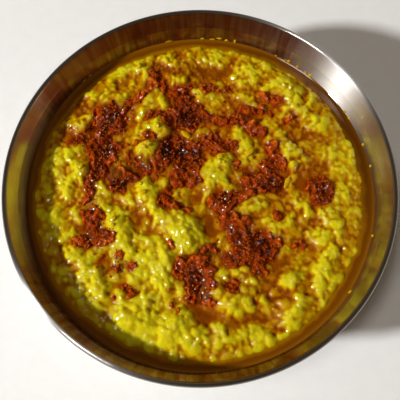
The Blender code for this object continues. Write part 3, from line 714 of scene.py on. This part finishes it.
def lentil_mash():
    """Turmeric-yellow mash: soft light passes a few millimetres into it, and a skin of oil
    makes it wet. Thin liquor turns it orange in the hollows, painted shade darkens its cracks
    and hollows, and chilli oil stains it."""
    made, node, place = new_material("lentil_mash")
    sunk, red, crests = [node("Attribute", attribute_name=name).outputs["Fac"]
                         for name in ("sunk", "red", "crest")]
    patches = node("TexNoise", {
        "Vector": place, "Scale": 1 / (6 * MM), "Detail": 4, "Roughness": 0.6})
    shift = node("Math", {0: patches, 1: 0.4, 2: -0.2}, operation="MULTIPLY_ADD")
    # From lemon tops to brown cracks: the liquor's orange, and painted shade in the cracks.
    tone = node("Math", {0: sunk, 1: shift}, operation="ADD")
    flesh = node("ValToRGB", {"Fac": tone},
                 stops=((0, "#d4c612"), (1, "#844200"), (0.20, "#c4a204"),
                        (0.36, "#be9400"), (0.56, "#b27c00"), (0.78, "#a25e00")))
    rub = node("MapRange", {"Value": red, "From Min": 0.06, "From Max": 0.75, "To Max": 0.95})
    chilli = node("ValToRGB", {"Fac": rub},
                  stops=((0, "#c07000"), (1, "#641c00"), (0.5, "#9c3c00")))
    stained = node("Mix", {"Factor": rub, 6: flesh, 7: chilli}, data_type="RGBA")
    pores = node("TexNoise", {
        "Vector": place, "Scale": 1 / (1.6 * MM), "Detail": 1, "Roughness": 0.45})
    skin = node("Bump", {"Height": pores, "Strength": 0.3, "Distance": 0.4 * MM})
    drops = node("TexNoise", {"Vector": place, "Scale": 1 / (1.5 * MM), "Detail": 0})
    facet = node("NewGeometry").outputs["True Normal"]
    film = node("Bump", {"Height": drops, "Strength": 1.0, "Distance": 0.25 * MM, "Normal": facet})
    damp = node("TexNoise", {"Vector": place, "Scale": 1 / (5 * MM), "Detail": 2})
    wet = node("MapRange", {"Value": damp, "From Min": 0.40, "From Max": 0.55, "To Min": 0.5})
    gloss = node("Math", {0: wet, 1: crests}, operation="MULTIPLY")
    shader = node("BsdfPrincipled", {
        "Base Color": stained.outputs[2], "Roughness": 0.6, "IOR": 1.42,
        "Specular IOR Level": 0.03, "Subsurface Weight": 1.0,
        "Subsurface Radius": (1.0, 0.7, 0.1), "Subsurface Scale": 3.6 * MM,
        "Coat Weight": gloss, "Coat Roughness": 0.12, "Coat IOR": 1.5, "Normal": skin,
        "Coat Normal": film})
    node("OutputMaterial", {"Surface": shader})
    return made


WALL_TOUCH = 0.4                   # how far the mash reaches into the steel it touches
DAL_SPACING = 0.62
SIDE_DEPTH = 6.8                   # how far under the oil the net of its top ends
mash_finish = lentil_mash()
dal_foot = OIL_LEVEL - SIDE_DEPTH
dal_reach = wall_radius(dal_foot) + WALL_TOUCH
rings = int(dal_reach / DAL_SPACING)
net, net_faces = net_of_triangles(dal_reach, rings)
heights = OIL_LEVEL + read_map(mash_top, *net.T)
heights[-6 * rings:] = dal_foot
points = [np.column_stack((net, heights))]
faces = [net_faces]
count = 6 * rings
above = len(net) - count
rim_angle = np.arange(count) * math.tau / count
for angle in np.linspace(curve_angle(dal_foot), 0, 7)[1:]:
    radius, height = body_point(angle, WALL_TOUCH)
    below = sum(len(p) for p in points)
    points.append(np.column_stack((radius * np.cos(rim_angle), radius * np.sin(rim_angle),
                                   np.full(count, height))))
    near, far = np.arange(count), (np.arange(count) + 1) % count
    faces.append(np.stack((above + near, below + near, below + far), 1))
    faces.append(np.stack((above + near, below + far, above + far), 1))
    above = below
floor_middle = sum(len(p) for p in points)
points.append(np.array([[0.0, 0.0, WALL - WALL_TOUCH]]))
faces.append(np.stack((above + (np.arange(count) + 1) % count, above + np.arange(count),
                       np.full(count, floor_middle)), 1))
points = np.concatenate(points)
dal = solid("dal_mash", points, np.concatenate(faces).tolist(), mash_finish)
spots = points[:, :2].T
set_maps(dal, sunk=read_map(sunk, *spots), red=read_map(stain, *spots),
         crest=read_map(crest, *spots))
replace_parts(dal, "dal")


# ------------------------------ oil
# Oil and thin liquor that rose out of the mash and stand in a ring against the wall. Its
# edge climbs the steel a little. It is brown where deep, orange over the mash, and darker
# round one side as painted shade.
def red_oil():
    """Cooking oil coloured by chilli and turmeric: dark and clear, with a sharp gloss."""
    made, node, place = new_material("chilli_oil")
    depth, settled = [node("Attribute", attribute_name=name).outputs["Fac"]
                      for name in ("depth", "settled")]
    swirl = node("TexNoise", {
        "Vector": place, "Scale": 1 / (5 * MM), "Detail": 3, "Distortion": 0.6})
    shift = node("Math", {0: swirl, 1: 1.6, 2: -0.8}, operation="MULTIPLY_ADD")
    varied = node("Math", {0: depth, 1: shift}, operation="ADD")
    part = node("MapRange", {"Value": varied, "From Max": 6})
    tint = node("ValToRGB", {"Fac": part},
                stops=((0, "#9c6800"), (1, "#7e4c04"), (0.18, "#8c5800"),
                       (0.42, "#6e3c02"), (0.65, "#704002")))
    # The ring is darker round one side: painted shade.
    shaded_tint = node("Mix", {"Factor": settled, 6: tint, 7: "#351600"}, data_type="RGBA")
    shader = node("BsdfPrincipled", {
        "Base Color": shaded_tint.outputs[2], "Roughness": 0.05, "IOR": 1.47})
    node("OutputMaterial", {"Surface": shader})
    return made


OIL_SEGMENTS = 576
OIL_INNER = 88.0
OIL_DEPTH = 5.0                    # of the ring's underside
OIL_FINE_FROM = 101                # from this radius its rows are closer
OIL_TOUCH = 0.3                    # how far it reaches into the steel
CLIMB = 0.8                        # how high the oil climbs the steel
CLIMB_WIDTH = 0.8
SHADED_SIDE_WAY = 22                   # where the painted shade darkens the ring most, in degrees from +X
SHADED_SIDE_SPREAD = 40
SHADED_SIDE_MOST = 0.70
wall_at_oil = wall_radius(OIL_LEVEL + CLIMB)
oil_radii = np.concatenate((np.arange(OIL_INNER, OIL_FINE_FROM, 0.5),
                            np.arange(OIL_FINE_FROM, wall_at_oil - 0.1, 0.25),
                            [wall_at_oil + OIL_TOUCH]))
turns = np.arange(OIL_SEGMENTS) * math.tau / OIL_SEGMENTS
oil_rows = [(radius, OIL_LEVEL + CLIMB * math.exp(-(wall_at_oil - radius) / CLIMB_WIDTH))
            for radius in oil_radii]
oil_foot = OIL_LEVEL - OIL_DEPTH
oil_rows += [(wall_radius(oil_foot) + OIL_TOUCH, oil_foot), (OIL_INNER, oil_foot)]
oil_points = np.array([(r * math.cos(a), r * math.sin(a), z) for r, z in oil_rows for a in turns])
oil_faces = []
for row in range(len(oil_rows)):
    here, there = row * OIL_SEGMENTS, (row + 1) % len(oil_rows) * OIL_SEGMENTS
    for j in range(OIL_SEGMENTS):
        k = (j + 1) % OIL_SEGMENTS
        oil_faces.append((here + j, there + j, there + k, here + k))
oil = solid("oil_ring", oil_points, oil_faces, red_oil())
way = np.degrees(np.arctan2(oil_points[:, 1], oil_points[:, 0]))
set_maps(oil, depth=-read_map(mash_top, *oil_points[:, :2].T),
         settled=SHADED_SIDE_MOST * np.exp(-((way - SHADED_SIDE_WAY) / SHADED_SIDE_SPREAD) ** 2))
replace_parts(oil, "oil")


# ------------------------------ loose lumps of lentil
# Soft lentils and bits of mash that sit on top, each a rounded nugget pressed half in.
def nuggets(kinds, detail, roughness, seed):
    """A few rounded lumps of about unit size, and the faces they share."""
    ball = bmesh.new()
    bmesh.ops.create_icosphere(ball, subdivisions=detail, radius=1.0)
    ball.verts.ensure_lookup_table()
    ball_points = np.array([v.co for v in ball.verts])
    ball_faces = np.array([[v.index for v in f.verts] for f in ball.faces])
    ball.free()
    shapes = []
    for kind in range(kinds):
        shift = Vector((seed + 3.7 * kind, 1.3 * kind, 0.0))
        swell = [1 + roughness * (noise.noise(Vector(p) * 1.4 + shift)
                                  + 0.6 * noise.noise(Vector(p) * 3.1 + shift))
                 for p in ball_points]
        shapes.append(ball_points * np.array(swell)[:, None])
    return shapes, ball_faces


def strewn(draw, name, shapes, shape_faces, places, sizes, finish, degrees=None):
    """One mesh of many turned and tipped copies, and the copy number of each point."""
    per = len(shapes[0])
    points = np.empty((len(places) * per, 3))
    for number, (place, size) in enumerate(zip(places, sizes)):
        angle = draw.uniform(0, math.tau) if degrees is None else math.radians(degrees[number])
        turn = Matrix.Rotation(angle, 3, "Z")
        tip = Matrix.Rotation(draw.uniform(-0.4, 0.4), 3, "X")
        moved = shapes[draw.integers(len(shapes))] * size @ np.array(turn @ tip).T
        points[number * per:(number + 1) * per] = moved + place
    faces = (shape_faces[None] + (np.arange(len(places)) * per)[:, None, None]).reshape(-1, 3)
    made = solid(name, points, faces.tolist(), finish)
    return made, np.repeat(np.arange(len(places)), per)


LOOSE_LENTILS = 16
WHOLE_LENTILS = (                  # x, y, degrees, half length, half width, half height
    (30, 23.6, 45, 3.4, 1.5, 1.2), (52, 6, 65, 4.5, 1.4, 1), (-8.5, 36, -40, 3.6, 1.7, 1.3),
)
LOOSE_LENGTH = (1.2, 2.3)          # half lengths
draw = np.random.default_rng(33)
lentil_shapes, lentil_faces = nuggets(kinds=8, detail=3, roughness=0.30, seed=5.0)
proud = ground - blur(ground, 5.0)
spots = scatter(draw, spacing=3.4, reach=DAL_EDGE - 4)
# They lie where the mash stands proud or is grainy, clear of the tempering
weight = read_map(proud, *spots.T) + 1.2 * read_map(grainy, *spots.T)
weight += 0.5 * draw.standard_normal(len(spots)) - 3.0 * (read_map(cover, *spots.T) > 0.25)
spots = spots[np.argsort(-weight)[:LOOSE_LENTILS]]
whole = np.array(WHOLE_LENTILS)
spots = np.concatenate((spots, whole[:, :2]))
degrees = draw.uniform(0, 180, len(spots))
degrees[-len(whole):] = whole[:, 2]
long = draw.uniform(*LOOSE_LENGTH, len(spots))
sizes = np.stack((long, long * draw.uniform(0.6, 0.85, len(spots)),
                  long * draw.uniform(0.45, 0.65, len(spots))), 1)
sizes[-len(whole):] = whole[:, 3:]
places = np.column_stack((spots, OIL_LEVEL + read_map(mash_top, *spots.T) + 0.25 * sizes[:, 2]))
lentils, owner = strewn(draw, "loose_lentils", lentil_shapes, lentil_faces, places, sizes,
                        mash_finish, degrees)
set_maps(lentils, sunk=0.2, crest=0.8, red=0.5 * read_map(stain, *spots.T)[owner])


# ------------------------------ tempering
# Chilli, spices and crushed garlic fried in oil to a grainy paste, and spooned over. Each
# spoonful is a sheet of crumbs about a millimetre across, stuck together where it is thick.
def chilli_crumbs():
    """Fried chilli paste: dark red-brown crumbs, shiny with oil, no two the same colour."""
    made, node, place = new_material("chilli_paste")
    # The shade map carries painted light as well as tone: lighter crumb tops, darker hollows and
    # pits.
    shade = node("Attribute", attribute_name="shade").outputs["Fac"]
    specks = node("TexNoise", {
        "Vector": place, "Scale": 1 / (2.2 * MM), "Detail": 4, "Roughness": 0.7})
    vary = node("Math", {0: specks, 1: 0.5, 2: -0.25}, operation="MULTIPLY_ADD")
    part = node("Math", {0: shade, 1: vary}, operation="ADD")
    tint = node("ValToRGB", {"Fac": part},
                stops=((0, "#280800"), (1, "#c87018"), (0.14, "#400f00"),
                       (0.32, "#702400"), (0.54, "#9a3800"), (0.76, "#b85008")))
    skin = node("Bump", {"Height": specks, "Strength": 0.3, "Distance": 0.5 * MM})
    facet = node("NewGeometry").outputs["True Normal"]
    damp = node("TexNoise", {"Vector": place, "Scale": 1 / (3 * MM), "Detail": 2})
    wet = node("MapRange", {"Value": damp, "From Min": 0.42, "From Max": 0.58})
    shader = node("BsdfPrincipled", {
        "Base Color": tint, "Roughness": 0.6, "IOR": 1.45, "Specular IOR Level": 0.03,
        "Subsurface Weight": 0.8, "Subsurface Radius": (1.0, 0.3, 0.05),
        "Subsurface Scale": 2 * MM, "Coat Weight": wet, "Coat Roughness": 0.15,
        "Coat IOR": 1.5, "Normal": skin, "Coat Normal": facet})
    node("OutputMaterial", {"Surface": shader})
    return made


SHEET_CELL = 0.36
SHEET_HALF = 92.16
CRUMB_SPACING = 0.95
CRUMB_RADIUS = (0.42, 0.85)
CLUMP_SPACING = 2.6
CLUMP_RADIUS = (1.1, 2.0)
SHEET_DEEP = -0.65                 # the height of a sheet's bare edge, under the mash
SHEET_UNDER = 0.5                  # how much deeper than that its underside lies
SHEET_THICK = 1.3
SHEET_FROM = 0.20                  # how much tempering a place needs to be in a sheet
PAT_REACH = 4.5                    # a pat's sheet goes out to this squared distance
PAINTED_PIT_SHADE = (                          # x, y, reach, how much painted shade darkens the pit
    (-8, 48, 8, 0.17), (-18, 25, 6, 0.17), (0, 23, 5, 0.12), (37, -33, 6, 0.12), (43, 4, 6, 0.10),
    (-57, 22, 6, 0.04), (19, -14, 4, 0.05), (-9, 62, 5, 0.06),
)
paste_finish = chilli_crumbs()
draw = np.random.default_rng(45)
sheet_axis = np.arange(-SHEET_HALF, SHEET_HALF + SHEET_CELL / 2, SHEET_CELL)
SX, SY = np.meshgrid(sheet_axis, sheet_axis)
sheet_cover = read_map(cover, SX, SY)
crumb = np.zeros_like(SX)


def add_crumbs(spacing, radii, tallness):
    """Rounded crumbs on the tempering's map, fewer where it lies thin."""
    under = crumb.copy()
    for x, y in scatter(draw, spacing, 90.0):
        here = float(read_map(cover, x, y))
        if here < 0.08 or draw.random() > 0.25 + here:
            continue
        radius = draw.uniform(*radii)
        part = window(x, y, radius, SHEET_HALF, SHEET_CELL, len(sheet_axis))
        far = ((SX[part] - x) ** 2 + (SY[part] - y) ** 2) / radius ** 2
        level = float(read_map(under, x, y, SHEET_HALF, SHEET_CELL))
        bump = level + radius * draw.uniform(*tallness) * np.sqrt(np.clip(1 - far, 0, None))
        bump[far >= 1] = -99
        crumb[part] = np.maximum(crumb[part], bump)


add_crumbs(CLUMP_SPACING, CLUMP_RADIUS, tallness=(0.25, 0.45))
add_crumbs(CRUMB_SPACING, CRUMB_RADIUS, tallness=(0.35, 0.65))
crumb = blur(crumb, 0.26, SHEET_CELL)
thick_part = share((sheet_cover - 0.42) / 0.50)
crumb *= share((sheet_cover - 0.22) / 0.2)
thick = SHEET_DEEP + (SHEET_THICK - SHEET_DEEP) * thick_part ** 0.8
thick += 0.22 * cloud(draw, 1.6, SHEET_CELL, SX.shape) * share(2 * sheet_cover)
sheet_ground = read_map(mash_top, SX, SY)
sheet_top = sheet_ground + thick + crumb
# "shade" is the paste's tone: random, brighter where it lies thin and darker where it heaps;
# lighter crumb tops and higher places are painted light, and darker hollows are painted shade
shade = (0.42 + 0.22 * (crumb - blur(crumb, 1.3, SHEET_CELL))
         + 0.12 * (sheet_top - blur(sheet_top, 4.0, SHEET_CELL))
         + 0.07 * cloud(draw, 2.5, SHEET_CELL, SX.shape)
         + 0.09 * cloud(draw, 4.5, SHEET_CELL, SX.shape)
         - 0.28 * share(blur(sheet_cover, 2.6, SHEET_CELL) - 0.50)
         - 0.09 * read_map(hollow, SX, SY))
shade = np.maximum(shade, 0.60 - 0.50 * thick_part)
# Painted shade darkens the deepest pits of the tempering.
painted_pit_shade = np.zeros_like(SX)
for x, y, reach, amount in PAINTED_PIT_SHADE:
    painted_pit_shade += amount * spot(SX, SY, x, y, reach)
shade -= painted_pit_shade
present = sheet_cover > SHEET_FROM


def pat_shape(name):
    """(x, y, half length, half width, degrees) of a packed pat, from its own points."""
    points = np.array([v.co[:2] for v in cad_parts[name].data.vertices]) / MM
    middle = points.mean(0)
    ways = np.linalg.eigh(np.cov((points - middle).T))[1]
    wide, long = np.abs((points - middle) @ ways).max(0)
    return (*middle, long, wide, math.degrees(math.atan2(ways[1, 1], ways[0, 1])))


pat_names = sorted(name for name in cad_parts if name.startswith("tadka"))
farness = np.array([ellipse(SX, SY, *pat_shape(name)) for name in pat_names])
nearest = np.where(farness.min(0) < PAT_REACH, farness.argmin(0), -1)


def paste_sheet(name, chosen):
    """A closed sheet over the chosen cells of the tempering's map."""
    cells = (chosen[:-1, :-1] & present[:-1, :-1] & present[1:, :-1]
             & present[:-1, 1:] & present[1:, 1:])
    for _ in range(3):                 # no two cells meet at a corner only
        near, over, beside, across = cells[:-1, :-1], cells[1:, :-1], cells[:-1, 1:], cells[1:, 1:]
        single = near & across & ~over & ~beside
        other = over & beside & ~near & ~across
        across &= ~single
        beside &= ~other
    rows, columns = np.nonzero(cells)
    wide = len(sheet_axis)
    corner = rows * wide + columns
    quads = np.stack((corner, corner + 1, corner + wide + 1, corner + wide), 1)
    used, flat = np.unique(quads, return_inverse=True)
    quads = flat.reshape(quads.shape)
    spots = np.stack((SX.ravel()[used], SY.ravel()[used]), 1)
    top = np.column_stack((spots, OIL_LEVEL + sheet_top.ravel()[used]))
    under = np.column_stack((spots, OIL_LEVEL + sheet_ground.ravel()[used]
                             + SHEET_DEEP - SHEET_UNDER))
    total = len(used)
    sides = np.concatenate([quads[:, (a, (a + 1) % 4)] for a in range(4)])
    keys = sides.min(1) * total + sides.max(1)
    once = np.unique(keys, return_index=True, return_counts=True)
    rim = sides[once[1][once[2] == 1]]
    walls = np.stack((rim[:, 0], rim[:, 0] + total, rim[:, 1] + total, rim[:, 1]), 1)
    faces = np.concatenate((quads, quads[:, ::-1] + total, walls))
    made = solid(name, np.concatenate((top, under)), faces.tolist(), paste_finish)
    set_maps(made, shade=np.tile(shade.ravel()[used], 2))
    return made


for number, name in enumerate(pat_names):
    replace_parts(paste_sheet(f"{name}_paste", nearest == number), name)
paste_sheet("tempering_drops", nearest == -1)

# ------------------------------ loose crumbs
# Single crumbs of the tempering that fell beside the spoonfuls or stand up out of them.
CRUMB_REACH = 92.0
LOOSE_CRUMB_RADIUS = (0.32, 0.62)
draw = np.random.default_rng(57)
crumb_shapes, crumb_faces = nuggets(kinds=10, detail=2, roughness=0.5, seed=50.0)
spots = scatter(draw, spacing=0.9, reach=CRUMB_REACH)
# A fifth of the places on the sheets have one, and a few of those close beside them
near = read_map(cover, *spots.T)
about = read_map(blur(cover, 3.0), *spots.T)
chance = np.where(near > 0.3, 0.20, 0.3 * np.clip(about - 0.15, 0, 0.3))
chance *= 1 - read_map(bare, *spots.T)
spots = spots[draw.random(len(spots)) < chance]
radius = draw.uniform(*LOOSE_CRUMB_RADIUS, len(spots))
sizes = radius[:, None] * draw.uniform(0.7, 1.25, (len(spots), 3))
# They lie on the sheet where there is one, or else on the mash
mash_under = read_map(mash_top, *spots.T)
sheet_under = read_map(sheet_top, *spots.T, SHEET_HALF, SHEET_CELL)
lift = np.where(read_map(cover, *spots.T) > 0.1, np.maximum(sheet_under, mash_under),
                mash_under)
places = np.column_stack((spots, OIL_LEVEL + lift))
crumbs, owner = strewn(draw, "loose_crumbs", crumb_shapes, crumb_faces, places, sizes,
                       paste_finish)
crumb_shade = draw.uniform(0.45, 0.9, len(spots))
# Crumbs in those pits take the painted shade too.
crumb_shade -= 1.3 * read_map(painted_pit_shade, *spots.T, SHEET_HALF, SHEET_CELL)
set_maps(crumbs, shade=crumb_shade[owner])

# ------------------------------ bits on the steel
# Bits of mash that splashed on the far wall just over the oil, and dark crumbs of the
# tempering near them and on the near wall. Each is pressed flat on the steel.
MASH_BITS = (                      # degrees, height over the oil, half width, half height
    (48, 1.7, 1.3, 1.5), (50, 1, 1, 1), (53.5, 1.4, 0.8, 1.3), (57, 1.5, 1.1, 1.7),
    (58.3, 0.8, 1.2, 0.8), (77.5, 1.6, 0.8, 1.9), (80.5, 1.5, 1.3, 1.2), (83, 2.4, 1.9, 1.1),
    (85.5, 1.2, 2, 0.9), (89, 1.3, 1.7, 0.9), (30, 2, 0.9, 1.5), (27.5, 1.4, 1.3, 1.1),
    (101, 1.2, 2.4, 0.8), (132, 1.4, 1.5, 0.8), (134.8, 1.1, 1.6, 0.7), (345, 1.8, 0.9, 1.2),
    (325, 1.6, 1.2, 1.3), (9, 1.6, 0.8, 1.4), (17, 1.4, 1, 1.2), (62, 0.9, 0.8, 0.8),
)
DARK_BITS = ((86, 2.0, 0.8, 0.6), (263, 6.4, 1.0, 0.8), (274, 4.6, 0.8, 0.6),
             (317, 6.2, 0.35, 0.5), (351, 9.0, 0.5, 0.4))


def stuck_bits(name, bits, shapes, shape_faces, finish):
    """Bits pressed on the wall's inside, half as thick as they are wide, as one mesh."""
    spots, sizes = [], []
    for degrees, up, wide, tall in bits:
        radius = wall_radius(OIL_LEVEL + up)
        way = math.radians(degrees)
        spots.append((radius * math.cos(way), radius * math.sin(way), OIL_LEVEL + up))
        sizes.append((wide, 0.55 * min(wide, tall), tall))
    return strewn(draw, name, shapes, shape_faces, np.array(spots), np.array(sizes), finish,
                  [degrees - 90 for degrees, *_ in bits])[0]


splashes = stuck_bits("mash_on_wall", MASH_BITS, lentil_shapes, lentil_faces, mash_finish)
set_maps(splashes, sunk=0.36, crest=0.6, red=0.1)
specks = stuck_bits("crumbs_on_wall", DARK_BITS, crumb_shapes, crumb_faces, paste_finish)
set_maps(specks, shade=0.1)
